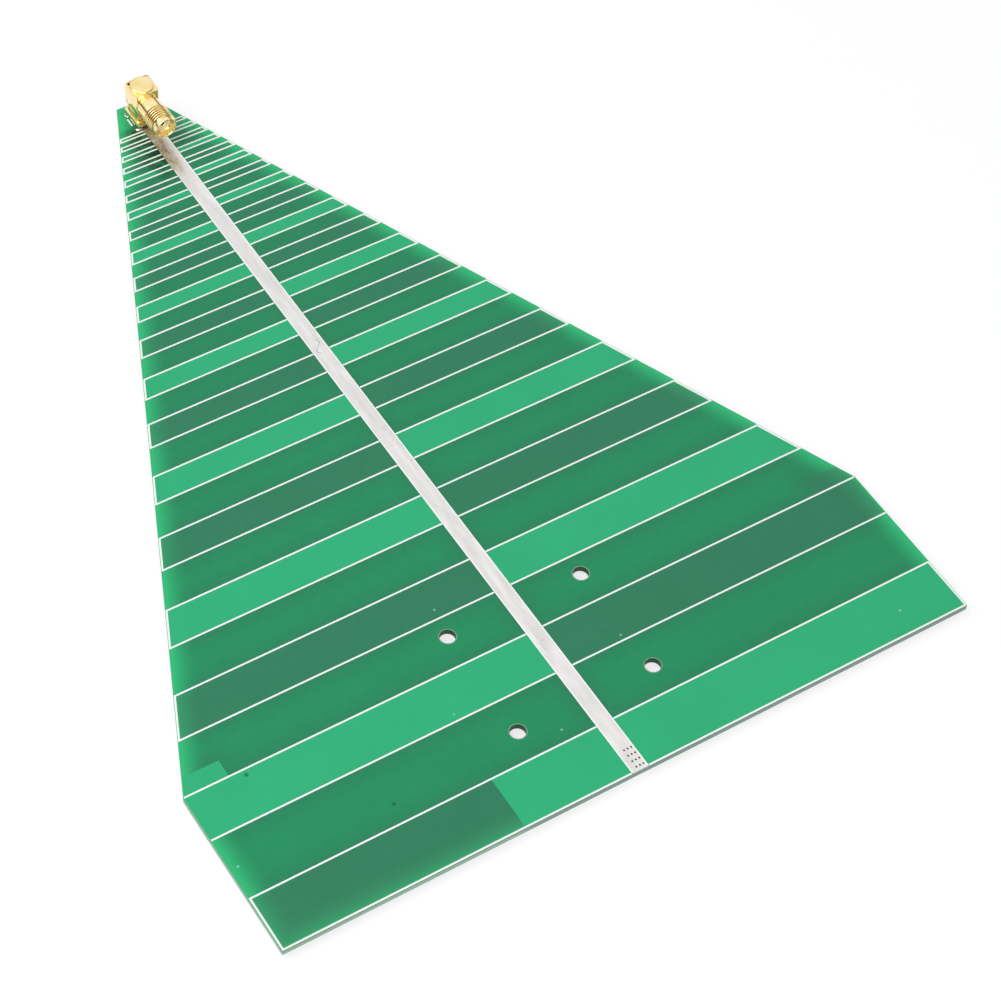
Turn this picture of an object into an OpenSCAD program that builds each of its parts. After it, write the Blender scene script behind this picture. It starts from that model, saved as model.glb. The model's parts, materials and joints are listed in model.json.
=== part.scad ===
// Printed log-periodic dipole antenna on a glass-epoxy board, with a right-angle
// coaxial jack at the narrow end. The board lies flat, front side up, and its
// narrow end points to +Y. Distances called "from the apex" are measured along
// the feed line, from the virtual point where the board's slanted edges would meet.

/* [Dipole pattern] */
// Number of dipole pairs, counted from the shortest
pairs = 20; // [14:1:24]
// Ratio between a pair's distance from the apex and that of the next longer pair
tau = 0.881; // [0.87:0.001:0.89]
// Angle between the feed line and each slanted edge of the board
flare_angle = 23.7; // [20:0.1:27]
// Distance from the apex to the middle of the last pair but one
log_reach = 194.7; // [180:0.1:210]
// Setback of the longest pair behind the place that the ratio gives it
last_setback = 1.2; // [0:0.1:3]
// Arm width over distance from the apex, on the long pairs
long_arm_ratio = 0.0585; // [0.05:0.0005:0.065]
// Arm width over distance from the apex, on the short pairs
short_arm_ratio = 0.0495; // [0.04:0.0005:0.055]
// Number of pairs that have the narrower short arms
short_pairs = 8; // [4:1:12]
// Height of the loading patch in front of the tip of the last pair but one
patch_h = 4.4; // [2:0.1:6]
// Width of the loading patch, from the widest point of the board inwards
patch_w = 10.4; // [6:0.1:16]
// Reach of the stub opposite each arm of the longest pair, from the feed line
stub_reach = 27.4; // [15:0.1:40]
// Gap between the copper and the edge of the board
copper_margin = 0.25; // [0.1:0.05:0.5]

/* [Feed line] */
// Width of the feed line on both sides
line_w = 4; // [3.4:0.1:4.6]
// Width of the back feed line where it passes between the jack's legs
back_neck_w = 2.2; // [1.6:0.1:2.4]
// Distance that the feed line stays clear of the narrow edge of the board
line_margin = 1; // [0.5:0.1:1.6]
// Diameter of the drilled holes for the shorting vias
via_drill = 0.5; // [0.4:0.05:0.6]
// Shorting vias across the feed line
via_columns = 3; // [1:1:3]
// Shorting vias along the feed line
via_rows = 4; // [1:1:6]
// Spacing of the vias across the feed line
via_pitch_x = 0.86; // [0.75:0.01:1]
// Spacing of the vias along the feed line
via_pitch_y = 1.5; // [1:0.1:2]
// Offset of the vias from the middle of the feed line
via_offset = 0.5; // [-0.5:0.05:0.5]
// Distance from the rear edge of the board to the last row of vias
via_setback = 1.1; // [0.8:0.1:2]

/* [Board] */
// Distance from the apex to the narrow edge of the board
nose_distance = 9.9; // [9.4:0.1:10.4]
// Thickness of the glass-epoxy laminate
laminate_t = 1.5; // [0.8:0.1:1.9]
// Thickness of the copper foil
copper_t = 0.035; // [0.03:0.005:0.07]
// Thickness of the solder mask over the copper
mask_t = 0.025; // [0.015:0.005:0.04]
// Thickness of the tin coating on the bare copper
tin_t = 0.03; // [0.01:0.005:0.05]
// Thickness of the printed legend
legend_t = 0.02; // [0.01:0.005:0.03]
// Width of the legend lines
legend_w = 0.4; // [0.25:0.05:0.5]
// Gap between the legend lines and the feed line or the board's slanted edges
legend_gap = 0.1; // [0.05:0.05:0.2]
// Thickness of the plating in the drilled holes
plating_t = 0.05; // [0.03:0.01:0.08]

/* [Mounting holes] */
// Diameter of the mounting holes
mount_hole_d = 3.5; // [3.2:0.1:4]
// Spacing of the mounting holes across the board
mount_pitch_x = 33.1; // [20:0.1:50]
// Spacing of the mounting holes along the board
mount_pitch_y = 27.3; // [26.5:0.1:28]
// Distance from the apex to the front pair of mounting holes
mount_distance = 181.4; // [179.5:0.1:183]
// Bare ring that the solder mask leaves around each mounting hole
mount_ring = 0.25; // [0.2:0.05:0.4]

/* [Jack body] */
// Distance from the apex to the vertical axis of the jack
jack_distance = 15.3; // [15:0.1:15.8]
// Width of the block, across the board
block_w = 6.2; // [6:0.1:6.5]
// Depth of the block, along the board
block_d = 5.9; // [5.8:0.1:6.4]
// Height of the block's top above the board
block_h = 10.2; // [10:0.1:11]
// Side of the square base flange
flange_w = 6.6; // [6.5:0.1:7]
// Thickness of the base flange
flange_t = 1.6; // [1.2:0.1:2]
// Height of the round feet that carry the flange off the board
foot_h = 0.6; // [0.4:0.1:0.9]
// Diameter of the round feet
foot_d = 1.5; // [1.45:0.05:1.5]
// Chamfer of the block's and the flange's upright edges
block_chamfer = 0.35; // [0.2:0.05:0.5]
// Depth of the waist cut round the block above the flange
waist_inset = 0.3; // [0.1:0.05:0.4]
// Height of that waist
waist_h = 2.4; // [1.5:0.1:2.6]
// Spacing of the jack's legs, both ways
leg_pitch = 5.08; // [5:0.02:5.1]
// Diameter of the legs
leg_d = 0.9; // [0.8:0.05:1]
// Length of the legs below their feet
leg_len = 3; // [2.8:0.1:4]
// Height of the barrel's axis above the board
axis_h = 6.6; // [6.4:0.1:6.8]
// Wall left between the cap's seat and the block's flat sides
cap_seat_wall = 0.6; // [0.5:0.05:0.8]
// Diameter of the round cap
cap_d = 5.6; // [5.4:0.1:5.8]
// Height of the cap above the block
cap_h = 0.7; // [0.4:0.1:1]
// Depth of the cap's plug in the block
cap_plug_h = 0.8; // [0.6:0.1:0.9]
// Bevel round the top of the cap
cap_bevel = 0.15; // [0.05:0.05:0.3]

/* [Jack barrel] */
// Outer diameter of the coupling thread
thread_d = 6.35; // [6.2:0.05:6.4]
// Length of the coupling thread
thread_len = 5; // [4:0.1:7]
// Diameter of the plain neck behind the thread
neck_d = 5.5; // [5.3:0.1:5.7]
// Length of the plain neck
neck_len = 3.1; // [2:0.1:4]
// Diameter of the plain lip in front of the thread
lip_d = 5.6; // [5.4:0.05:5.7]
// Length of the plain lip
lip_len = 1.05; // [0.6:0.05:1.4]
// Chamfer at both ends of the thread
thread_chamfer = 0.3; // [0.2:0.05:0.35]
// Diameter of the mouth
mouth_d = 4.6; // [4.5:0.05:4.7]
// Depth of the mouth, down to the insulator
mouth_depth = 1.9; // [1.7:0.1:2.2]
// Chamfer at the mouth
mouth_chamfer = 0.15; // [0.05:0.05:0.25]
// Diameter of the spigot that seats in the block
spigot_d = 5; // [4.8:0.1:5.2]
// Length of the spigot
spigot_len = 1.2; // [0.8:0.1:1.3]

/* [Inner line] */
// Diameter of both insulators
insulator_d = 4.1; // [3.9:0.05:4.2]
// Gap between the elbow insulator and the spigot above it
elbow_gap = 0.2; // [0.1:0.05:0.4]
// Diameter of the centre contact
contact_d = 1.27; // [1.2:0.01:1.3]
// Diameter of the contact's socket
socket_d = 0.92; // [0.9:0.01:0.95]
// Depth of the contact's socket
socket_depth = 3; // [2.5:0.1:3.5]
// Width of the slots that make the socket springy
socket_slot = 0.2; // [0.15:0.01:0.25]
// Length of those slots
socket_slot_len = 2.2; // [1.5:0.1:2.5]
// Diameter of the elbow pin
pin_d = 1.1; // [1:0.05:1.2]
// Diameter of the pin's end, where it passes through the contact
pin_end_d = 0.7; // [0.6:0.05:0.8]
// Length of the pin's end above the contact
pin_end_proud = 0.4; // [0.2:0.1:0.6]
// Length of the pin's point below the board's back
pin_stick = 1; // [0.8:0.05:1.2]

/* [Soldering] */
// Gap between a leg or the pin and the plated hole around it
hole_gap = 0.1; // [0.05:0.01:0.12]
// Width of the ring of each leg's solder pad
leg_pad_ring = 0.45; // [0.35:0.01:0.5]
// Width of the ring of the pin's solder pad
pin_pad_ring = 0.3; // [0.2:0.01:0.35]
// Gap between the legs' pads and the full width of the back feed line
back_line_gap = 0.4; // [0.2:0.05:0.8]
// Gap in the front copper around the pin's hole
pin_clear = 0.45; // [0.3:0.05:0.5]
// Height of the solder cones below the board
solder_h = 0.9; // [0.6:0.1:1.1]
// Height of the solder fillets round the feet
fillet_h = 0.3; // [0.15:0.05:0.35]
// Thickness of the solder at the tip of each cone
solder_tip = 0.08; // [0.05:0.01:0.1]
// Width of the solder fillets round the feet
fillet_w = 0.25; // [0.15:0.05:0.28]
// Length of the footprint marks beside the jack
mark_len = 2.5; // [1.5:0.1:2.8]

/* [Hidden] */
$fn = 64;
// Extra length of a cutter past the face that it opens
cut = 1;
// Left and right, and the two sides of the board
sides = [-1, 1];
last = pairs - 1;

// Distance from the apex to the middle of pair k, and the width of its arms
function pair_r(k) = k == last
    ? log_reach / tau + last_setback
    : log_reach * pow(tau, last - 1 - k);
function arm_w(k) = pair_r(k) * (k < short_pairs ? short_arm_ratio : long_arm_ratio);
// Distances from the apex to the two edges of pair k's arms
function near_r(k) = pair_r(k) - arm_w(k) / 2;
function far_r(k) = pair_r(k) + arm_w(k) / 2;

shoulder_r = near_r(last - 1);
rear_r = far_r(last) + legend_w / 2;
middle_r = (nose_distance + rear_r) / 2;
line_start_r = nose_distance + line_margin;
mount_rows = [mount_distance, mount_distance + mount_pitch_y];
// Half the width of the board at a distance from the apex
function half_w(r) = tan(flare_angle) * min(r, shoulder_r);
// Half-width less a margin kept at right angles to the edge; only the slanted
// stretch in front of the shoulder turns the margin
function inset_w(r, margin) = half_w(r) - margin / (r < shoulder_r ? cos(flare_angle) : 1);
// Height on the Y axis of a distance from the apex
function y_of(r) = middle_r - r;

// Levels, from the leg tips on z = 0
seat_z = leg_len;
front_z = seat_z - tin_t - copper_t;
back_z = front_z - laminate_t;
mask_top_z = front_z + copper_t + mask_t;
mask_bottom_z = back_z - copper_t - mask_t;
flange_z = seat_z + foot_h;
block_z = flange_z + flange_t;
block_top_z = seat_z + block_h;
axis_z = seat_z + axis_h;
elbow_top_z = axis_z - spigot_d / 2 - elbow_gap;
contact_z = axis_z - contact_d / 2;

// Plated holes
leg_drill_d = leg_d + 2 * hole_gap + 2 * plating_t;
leg_pad_d = leg_drill_d + 2 * leg_pad_ring;
pin_drill_d = pin_d + 2 * hole_gap + 2 * plating_t;
pin_pad_d = pin_drill_d + 2 * pin_pad_ring;
cap_plug_d = min(block_w, block_d) - 2 * cap_seat_wall;

// Places along the barrel's axis, measured forwards from the jack's vertical axis
block_front = block_d / 2;
neck_end = block_front + neck_len;
thread_end = neck_end + thread_len;
barrel_end = thread_end + lip_len;
insulator_front = barrel_end - mouth_depth;
insulator_rear = block_front - spigot_len;
contact_rear = contact_d / 2;

// Polygon on the side s of the feed line, from points [x, distance from the apex]
// that run away from the line, backwards and home; both sides wind the same way
module to_side(s, points) {
    n = len(points);
    polygon([for (i = [0 : n - 1]) let (p = points[s < 0 ? i : n - 1 - i]) [s * p[0], y_of(p[1])]]);
}

// One arm of a pair, as a strip across the board: it starts at from_x, ends at the
// board's edge less a margin, and is grown along the board by grow
module arm(k, s, from_x, margin, grow = 0) {
    near = near_r(k) - grow;
    far = far_r(k) + grow;
    to_side(s, [[from_x, near], [inset_w(near, margin), near], [inset_w(far, margin), far], [from_x, far]]);
}

// Rectangle along the feed line between two distances from the apex
module along_line(width, near, far) {
    translate([-width / 2, y_of(far)]) square([width, far - near]);
}

// Places of the jack's four legs
module at_legs() {
    for (x = sides, y = sides)
        translate([x * leg_pitch / 2, y_of(jack_distance) + y * leg_pitch / 2]) children();
}

module at_pin() {
    translate([0, y_of(jack_distance)]) children();
}

module at_vias() {
    for (i = [0 : via_columns - 1], j = [0 : via_rows - 1])
        translate([
            via_offset + (i - (via_columns - 1) / 2) * via_pitch_x,
            y_of(rear_r - via_setback - j * via_pitch_y)
        ]) children();
}

module at_mounts() {
    for (x = sides, r = mount_rows)
        translate([x * mount_pitch_x / 2, y_of(r)]) children();
}

module board_outline() {
    polygon([
        for (s = sides, r = s < 0 ? [rear_r, shoulder_r, nose_distance]
                                  : [nose_distance, shoulder_r, rear_r])
            [s * half_w(r), y_of(r)]
    ]);
}

// Side that the arm of pair k points to, on the face whose even pairs point to s
function arm_side(k, s) = k % 2 == 0 ? s : -s;

// Copper of one face without its pads: the arms, the loading patch in front of the
// tip of the last pair but one, and the stub opposite the arm of the longest pair
module radiators(s) {
    for (k = [0 : last]) arm(k, arm_side(k, s), 0, copper_margin);
    odd_side = arm_side(last - 1, s);
    inner_x = half_w(shoulder_r) - patch_w;
    outer_x = inset_w(shoulder_r, copper_margin);
    patch_r = shoulder_r - patch_h;
    to_side(odd_side, [
        [inner_x, patch_r], [inset_w(patch_r, copper_margin), patch_r],
        [outer_x, shoulder_r], [outer_x, pair_r(last - 1)], [inner_x, pair_r(last - 1)]
    ]);
    to_side(odd_side, [
        [0, near_r(last)], [stub_reach, near_r(last)], [stub_reach, far_r(last)], [0, far_r(last)]
    ]);
}

// Feed line of the front, under the whole jack
module front_line() {
    along_line(line_w, line_start_r, far_r(last));
}

// Feed line of the back, which starts at the jack's pin and is narrow between its legs
module back_line() {
    wide_from = jack_distance + leg_pitch / 2 + leg_pad_d / 2 + back_line_gap;
    along_line(line_w, wide_from, far_r(last));
    along_line(back_neck_w, jack_distance, wide_from);
    at_pin() circle(d = pin_pad_d);
}

module leg_pads() {
    at_legs() circle(d = leg_pad_d);
}

// Everything drilled through the board, at the sizes before plating
module drilled() {
    at_legs() circle(d = leg_drill_d);
    at_pin() circle(d = pin_drill_d);
    at_vias() circle(d = via_drill);
}

// Bare laminate that keeps the front copper clear of the pin
module pin_clearance() {
    at_pin() circle(d = pin_drill_d + 2 * pin_clear);
}

// Shape that the mask leaves bare on each face, and the whole copper of each face
module front_bare() {
    front_line();
    leg_pads();
}

module back_bare() {
    back_line();
    leg_pads();
}

module front_pattern() {
    difference() {
        union() {
            radiators(-1);
            front_bare();
        }
        pin_clearance();
        drilled();
    }
}

module back_pattern() {
    difference() {
        union() {
            radiators(1);
            back_bare();
        }
        drilled();
    }
}

// Flat sheet of the children's shape
module sheet(z, t) {
    translate([0, 0, z]) linear_extrude(t) children();
}

// Area of the solder mask: the board less its rings round the mounting holes and
// the children's bare shape
module mask_area() {
    difference() {
        board_outline();
        at_mounts() circle(d = mount_hole_d + 2 * mount_ring);
        children();
    }
}

// Outlines of the pairs' arms, the same on both faces. The last pair but one has
// no line at its tips
module arm_outlines() {
    from_x = line_w / 2 + legend_gap;
    for (k = [0 : last], s = sides) difference() {
        arm(k, s, from_x, legend_gap, legend_w / 2);
        arm(k, s, 0, k == last - 1 ? -cut : legend_gap + legend_w, -legend_w / 2);
    }
}

// Marks beside the footprint of the jack, clear of its pads
module footprint_marks() {
    for (s = sides)
        translate([s * (leg_pitch + leg_pad_d) / 2 - legend_w / 2, y_of(jack_distance) - mark_len / 2])
            square([legend_w, mark_len]);
}

// Plating of one drilled hole, from one face's copper to the other's
module plated_barrel(drill_d) {
    sheet(back_z - copper_t, laminate_t + 2 * copper_t) difference() {
        circle(d = drill_d);
        circle(d = drill_d - 2 * plating_t);
    }
}

// Cylinder along the barrel's axis, between two distances in front of the jack's
// vertical axis
module forward_cylinder(d, from, to) {
    translate([0, y_of(jack_distance) - from, axis_z]) rotate([90, 0, 0])
        cylinder(d = d, h = to - from);
}

// Cylinder on the jack's vertical axis
module upright_cylinder(d, from_z, to_z) {
    translate([0, y_of(jack_distance), from_z]) cylinder(d = d, h = to_z - from_z);
}

// Upright prism on the jack's vertical axis, with chamfered upright edges
module chamfered_prism(w, d, from_z, to_z) {
    x = w / 2;
    y = d / 2;
    c = block_chamfer;
    translate([0, y_of(jack_distance), from_z]) linear_extrude(to_z - from_z) polygon([
        [c - x, -y], [x - c, -y], [x, c - y], [x, y - c],
        [x - c, y], [c - x, y], [-x, y - c], [-x, c - y]
    ]);
}

// Solder that fills one plated hole round a stem and ends in a cone under the board
module solder_cone(stem_d, drill_d, pad_d) {
    pad_z = back_z - copper_t - tin_t;
    top_z = front_z + copper_t;
    rotate_extrude() polygon([
        [stem_d / 2, pad_z - solder_h],
        [stem_d / 2 + solder_tip, pad_z - solder_h],
        [pad_d / 2, pad_z],
        [drill_d / 2, pad_z],
        [drill_d / 2, back_z - copper_t],
        [drill_d / 2 - plating_t, back_z - copper_t],
        [drill_d / 2 - plating_t, top_z],
        [stem_d / 2, top_z]
    ]);
}

// Solder fillet round one foot of the jack
module foot_fillet() {
    rotate_extrude() polygon([
        [foot_d / 2, seat_z],
        [foot_d / 2 + fillet_w, seat_z],
        [foot_d / 2, seat_z + fillet_h]
    ]);
}

module laminate() {
    color("#93ad97") sheet(back_z, laminate_t) difference() {
        board_outline();
        drilled();
        at_mounts() circle(d = mount_hole_d);
    }
}

module front_copper() {
    color("#c4744a") sheet(front_z, copper_t) front_pattern();
}

module back_copper() {
    color("#c4744a") sheet(back_z - copper_t, copper_t) back_pattern();
}

// Each mask fills the space between the copper and covers its arms
module front_solder_mask() {
    color("#36a46b") {
        sheet(front_z, copper_t) difference() {
            mask_area() front_bare();
            front_pattern();
        }
        sheet(front_z + copper_t, mask_t) mask_area() front_bare();
    }
}

module back_solder_mask() {
    color("#36a46b") {
        sheet(back_z - copper_t, copper_t) difference() {
            mask_area() back_bare();
            back_pattern();
        }
        sheet(mask_bottom_z, mask_t) mask_area() back_bare();
    }
}

module front_tin_coating() {
    color("#dcdcda") sheet(front_z + copper_t, tin_t) difference() {
        front_bare();
        pin_clearance();
        drilled();
    }
}

module back_tin_coating() {
    color("#dcdcda") sheet(back_z - copper_t - tin_t, tin_t) difference() {
        back_bare();
        drilled();
    }
}

module front_legend() {
    color("white") sheet(mask_top_z, legend_t) {
        arm_outlines();
        footprint_marks();
    }
}

module back_legend() {
    color("white") sheet(mask_bottom_z - legend_t, legend_t) arm_outlines();
}

module via_barrels() {
    color("#c9c4b4") at_vias() plated_barrel(via_drill);
}

module leg_hole_barrels() {
    color("#c9c4b4") at_legs() plated_barrel(leg_drill_d);
}

module pin_hole_barrel() {
    color("#c9c4b4") at_pin() plated_barrel(pin_drill_d);
}

// Body of the jack, milled from one bar: the block over its waist and flange, with
// four feet and legs, bored from below, in front and on top
module jack_block() {
    color("#e3bd62") difference() {
        union() {
            chamfered_prism(flange_w, flange_w, flange_z, block_z);
            chamfered_prism(block_w - 2 * waist_inset, block_d - 2 * waist_inset, block_z, block_z + waist_h);
            chamfered_prism(block_w, block_d, block_z + waist_h, block_top_z);
            at_legs() translate([0, 0, seat_z]) cylinder(d = foot_d, h = foot_h);
            at_legs() cylinder(d = leg_d, h = seat_z);
        }
        upright_cylinder(insulator_d, flange_z - cut, block_top_z);
        upright_cylinder(cap_plug_d, block_top_z - cap_plug_h, block_top_z + cut);
        forward_cylinder(insulator_d, 0, block_front + cut);
        forward_cylinder(spigot_d, insulator_rear, block_front + cut);
    }
}

// Threaded shell, turned: spigot, neck, coupling thread and lip. The thread has
// its outer form
module jack_barrel() {
    root_d = thread_d - 2 * thread_chamfer;
    color("#e3bd62") translate([0, y_of(jack_distance), axis_z]) rotate([90, 0, 0])
        rotate_extrude() polygon([
            [insulator_d / 2, insulator_rear],
            [spigot_d / 2, insulator_rear],
            [spigot_d / 2, block_front],
            [neck_d / 2, block_front],
            [neck_d / 2, neck_end],
            [root_d / 2, neck_end],
            [thread_d / 2, neck_end + thread_chamfer],
            [thread_d / 2, thread_end - thread_chamfer],
            [root_d / 2, thread_end],
            [lip_d / 2, thread_end],
            [lip_d / 2, barrel_end],
            [mouth_d / 2 + mouth_chamfer, barrel_end],
            [mouth_d / 2, barrel_end - mouth_chamfer],
            [mouth_d / 2, insulator_front],
            [insulator_d / 2, insulator_front]
        ]);
}

// Round cap, pressed into the top of the block over the joint in the elbow
module jack_cap() {
    color("#efcd7e") at_pin() rotate_extrude() polygon([
        [0, block_top_z - cap_plug_h],
        [cap_plug_d / 2, block_top_z - cap_plug_h],
        [cap_plug_d / 2, block_top_z],
        [cap_d / 2, block_top_z],
        [cap_d / 2, block_top_z + cap_h - cap_bevel],
        [cap_d / 2 - cap_bevel, block_top_z + cap_h],
        [0, block_top_z + cap_h]
    ]);
}

module barrel_insulator() {
    color("#f1efe9") difference() {
        forward_cylinder(insulator_d, insulator_rear, insulator_front);
        forward_cylinder(contact_d, insulator_rear - cut, insulator_front + cut);
    }
}

module elbow_insulator() {
    color("#f1efe9") difference() {
        upright_cylinder(insulator_d, flange_z, elbow_top_z);
        upright_cylinder(pin_d, flange_z - cut, elbow_top_z + cut);
    }
}

// Centre contact: a slotted socket in front, and a cross hole for the pin behind
module centre_contact() {
    color("#ddb456") difference() {
        forward_cylinder(contact_d, -contact_rear, insulator_front);
        forward_cylinder(socket_d, insulator_front - socket_depth, insulator_front + cut);
        for (turn = [0, 90])
            translate([0, y_of(jack_distance) - insulator_front, axis_z]) rotate([0, turn, 0])
                translate([-contact_d, -cut, -socket_slot / 2])
                    cube([2 * contact_d, cut + socket_slot_len, socket_slot]);
        upright_cylinder(pin_end_d, axis_z - contact_d, axis_z + contact_d);
    }
}

// Upright pin from the elbow down through the board
module elbow_pin() {
    color("#ddb456") {
        upright_cylinder(pin_d, mask_bottom_z - pin_stick, contact_z);
        upright_cylinder(pin_end_d, contact_z, axis_z + contact_d / 2 + pin_end_proud);
    }
}

module leg_solder_joints() {
    color("#b9bab8") at_legs() {
        solder_cone(leg_d, leg_drill_d, leg_pad_d);
        foot_fillet();
    }
}

module pin_solder_joint() {
    color("#b9bab8") at_pin() solder_cone(pin_d, pin_drill_d, pin_pad_d);
}

laminate();
front_copper();
back_copper();
front_solder_mask();
back_solder_mask();
front_tin_coating();
back_tin_coating();
front_legend();
back_legend();
via_barrels();
leg_hole_barrels();
pin_hole_barrel();
jack_block();
jack_barrel();
jack_cap();
barrel_insulator();
elbow_insulator();
centre_contact();
elbow_pin();
leg_solder_joints();
pin_solder_joint();
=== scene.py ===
import json
import math

import bmesh
import bpy
import numpy as np
from mathutils import Matrix, Vector
from mathutils.bvhtree import BVHTree
from mathutils.geometry import delaunay_2d_cdt


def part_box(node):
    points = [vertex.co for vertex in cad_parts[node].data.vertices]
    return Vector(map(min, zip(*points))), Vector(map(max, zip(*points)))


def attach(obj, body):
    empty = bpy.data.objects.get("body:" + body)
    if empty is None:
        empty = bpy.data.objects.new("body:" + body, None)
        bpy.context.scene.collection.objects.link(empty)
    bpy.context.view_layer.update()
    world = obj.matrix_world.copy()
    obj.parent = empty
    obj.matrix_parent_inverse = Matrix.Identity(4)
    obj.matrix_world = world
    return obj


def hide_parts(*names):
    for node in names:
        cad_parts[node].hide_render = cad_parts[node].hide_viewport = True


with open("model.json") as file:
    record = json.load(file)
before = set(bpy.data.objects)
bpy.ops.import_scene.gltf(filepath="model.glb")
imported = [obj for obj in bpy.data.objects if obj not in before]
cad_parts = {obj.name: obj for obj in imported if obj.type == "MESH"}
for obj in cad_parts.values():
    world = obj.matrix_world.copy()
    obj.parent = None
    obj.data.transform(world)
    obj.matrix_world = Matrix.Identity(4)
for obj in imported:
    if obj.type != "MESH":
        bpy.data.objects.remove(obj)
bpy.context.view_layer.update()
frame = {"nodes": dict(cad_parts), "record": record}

# Printed log-periodic dipole antenna on a green circuit board, with a gold
# right-angle coaxial jack. Lengths named in millimetres are turned to metres by MM.
MM = 0.001
NODES = frame["nodes"]

# kinds of node used more than once
MATH, VECTOR, RANGE, MIX = (
    "ShaderNodeMath", "ShaderNodeVectorMath", "ShaderNodeMapRange", "ShaderNodeMix")
NOISE, MAPPING, BUMP, SPLIT = (
    "ShaderNodeTexNoise", "ShaderNodeMapping", "ShaderNodeBump", "ShaderNodeSeparateXYZ")
SURFACE, OUTPUT = "ShaderNodeBsdfPrincipled", "ShaderNodeOutputMaterial"


# ---------------------------------------------------------------- small helpers

def linear(code):
    """An sRGB hex colour as linear RGBA."""
    parts = [int(code[i:i + 2], 16) / 255 for i in (1, 3, 5)]
    return [p / 12.92 if p <= 0.04045 else ((p + 0.055) / 1.055) ** 2.4 for p in parts] + [1.0]


def add(tree, kind, inputs=(), out=0, **settings):
    """One node with its settings and links. Its inputs are given in order or by name,
    each a value or another node's output. Gives one output, or all where out is None."""
    made = tree.nodes.new(kind)
    for name, value in settings.items():
        setattr(made, name, value)
    for name, value in inputs.items() if isinstance(inputs, dict) else enumerate(inputs):
        if isinstance(value, bpy.types.NodeSocket):
            tree.links.new(value, made.inputs[name])
        else:
            made.inputs[name].default_value = value
    return made.outputs if out is None or not made.outputs else made.outputs[out]


def new_finish(name):
    """A new material, its empty node tree, and object coordinates in millimetres."""
    material = bpy.data.materials.new(name)
    material.use_nodes = True
    tree = material.node_tree
    tree.nodes.clear()
    place = add(tree, MAPPING, {
        "Vector": add(tree, "ShaderNodeTexCoord", out="Object"), "Scale": (1 / MM,) * 3})
    return material, tree, place


# ------------------------------------------------------------------ key places

BOARD_LOW, BOARD_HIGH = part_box("laminate")
BLOCK_LOW, BLOCK_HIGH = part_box("jack_block")
BARREL_LOW, BARREL_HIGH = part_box("jack_barrel")
CAP_LOW, CAP_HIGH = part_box("jack_cap")
HOLES = next(m for m in frame["record"]["mounts"] if m["name"] == "mounting_holes")
JACK_X = (BLOCK_LOW.x + BLOCK_HIGH.x) / 2
JACK_Y = (BLOCK_LOW.y + BLOCK_HIGH.y) / 2
AXIS_Z = (BARREL_LOW.z + BARREL_HIGH.z) / 2
LIP_Y = BARREL_LOW.y
FRONT_LOW, FRONT_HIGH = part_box("front_solder_mask")
BACK_LOW, BACK_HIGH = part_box("back_solder_mask")
# in millimetres: half the width of the tinned line, the end of the board behind it,
# the board's two faces and the front of the jack's lip
LINE_HALF = 2.0
WIDE_END = BOARD_LOW.y / MM
BOTTOM, TOP = BOARD_LOW.z / MM, BOARD_HIGH.z / MM
LIP = LIP_Y / MM


# -------------------------------------------------------------------- materials

def glass_epoxy():
    """Glass cloth in epoxy, sawn: pale green and matt, with its plies showing on the
    edges as fine bands, and greyer at the wide end where foil shuts the light out.
    The drilled walls are darkened inside to deep green, as painted shade."""
    material, tree, place = new_finish("glass_epoxy_laminate")
    spot = add(tree, SPLIT, [place], out=None)
    # seven plies of cloth in the board's 1.5 mm, and fibres a third of a millimetre apart
    per_ply, per_fibre = (0.15, 0.15, 4.6), (3.0, 3.0, 9.0)
    plies = add(tree, NOISE, {"Scale": 1.0, "Vector": add(
        tree, MAPPING, {"Vector": place, "Scale": per_ply})})
    fibres = add(tree, NOISE, {"Scale": 1.0, "Detail": 3.0, "Roughness": 0.7, "Vector": add(
        tree, MAPPING, {"Vector": place, "Scale": per_fibre})})
    # distance from the middle of the nearest mounting hole
    size = HOLES["dims"]
    away = place
    for operation, by in (
            ("SUBTRACT", (0, HOLES["pos_m"][1] / MM, 0)), ("ABSOLUTE", (0, 0, 0)),
            ("SUBTRACT", (size["spacing_x_mm"] / 2, size["spacing_y_mm"] / 2, 0)),
            ("MULTIPLY", (1, 1, 0))):
        away = add(tree, VECTOR, [away, by], operation=operation)
    away = add(tree, VECTOR, [away], out="Value", operation="LENGTH")
    wall = size["hole_r_mm"]
    # the front foil of the last arm starts 27 mm left of the line and runs to the right
    foil_start = -27.0
    under_foil = add(tree, MATH, [
        add(tree, RANGE, [spot["X"], foil_start - 2, foil_start + 2, 0.0, 0.6]),
        add(tree, RANGE, [spot["Y"], WIDE_END + 0.3, WIDE_END + 1.0, 1.0, 0.0])],
        operation="MULTIPLY")
    tone = linear("#94bda3")
    for factor, colour in (
            (add(tree, RANGE, [plies, 0.35, 0.65, 0.0, 0.45]), "#a9c4b0"),
            (add(tree, RANGE, [fibres, 0.5, 0.75, 0.0, 0.4]), "#b4c8b6"),
            (add(tree, RANGE, [spot["Z"], TOP - 0.5, TOP - 0.36]), "#739c85"),
            (under_foil, "#7c8686"),
            (add(tree, RANGE, [away, wall + 0.05, wall + 0.6, 0.8, 0.0]), "#7fb394"),
            # painted shade: deep green on the drilled walls, where little light reaches
            (add(tree, RANGE, [away, wall + 0.02, wall + 0.05, 1.0, 0.0]), "#073d20")):
        tone = add(tree, MIX, {0: factor, 6: tone, 7: linear(colour)}, out=2, data_type="RGBA")
    surface = add(tree, SURFACE, {"Base Color": tone, "Roughness": 0.55, "Normal": add(
        tree, BUMP, {"Height": fibres, "Distance": 0.02 * MM})})
    add(tree, OUTPUT, {"Surface": surface})
    return material


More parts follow.
